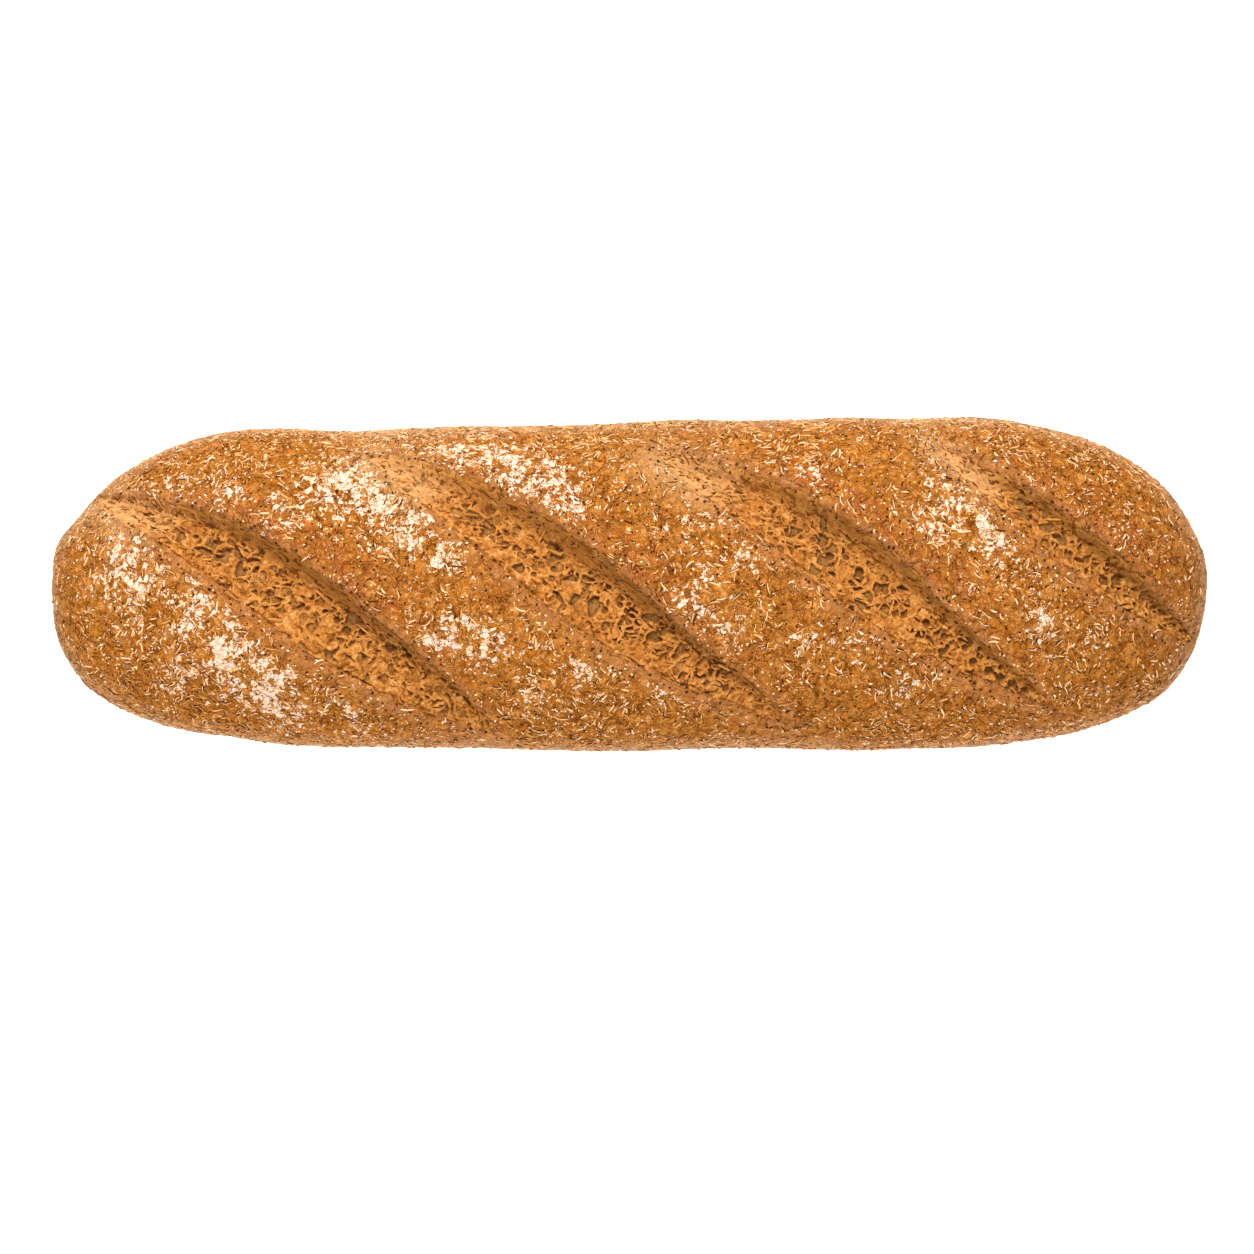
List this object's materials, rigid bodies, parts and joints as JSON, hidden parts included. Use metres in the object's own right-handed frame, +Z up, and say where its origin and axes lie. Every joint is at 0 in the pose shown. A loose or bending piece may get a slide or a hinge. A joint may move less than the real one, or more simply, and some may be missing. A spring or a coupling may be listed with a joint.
{
  "type": "whole wheat bread",
  "caption": "Short, broad whole wheat loaf with a crackled, flour-dusted crust, rounded ends, diagonal cuts opened in baking, and a flat underside.",
  "frame": {"origin": "middle of the flat underside, centred under the loaf's outer box", "axes": "+X along the loaf towards its slightly broader end, +Y to the back, where the cuts start further left, +Z up from the underside"},
  "size_m": [0.3096, 0.0894, 0.062],
  "materials": {
    "crust": "golden brown baked crust, matt, dusted with flour, paler and rougher in the open cuts"
  },
  "bodies": {
    "root": {"loaf": "crust"}
  },
  "joints": []
}
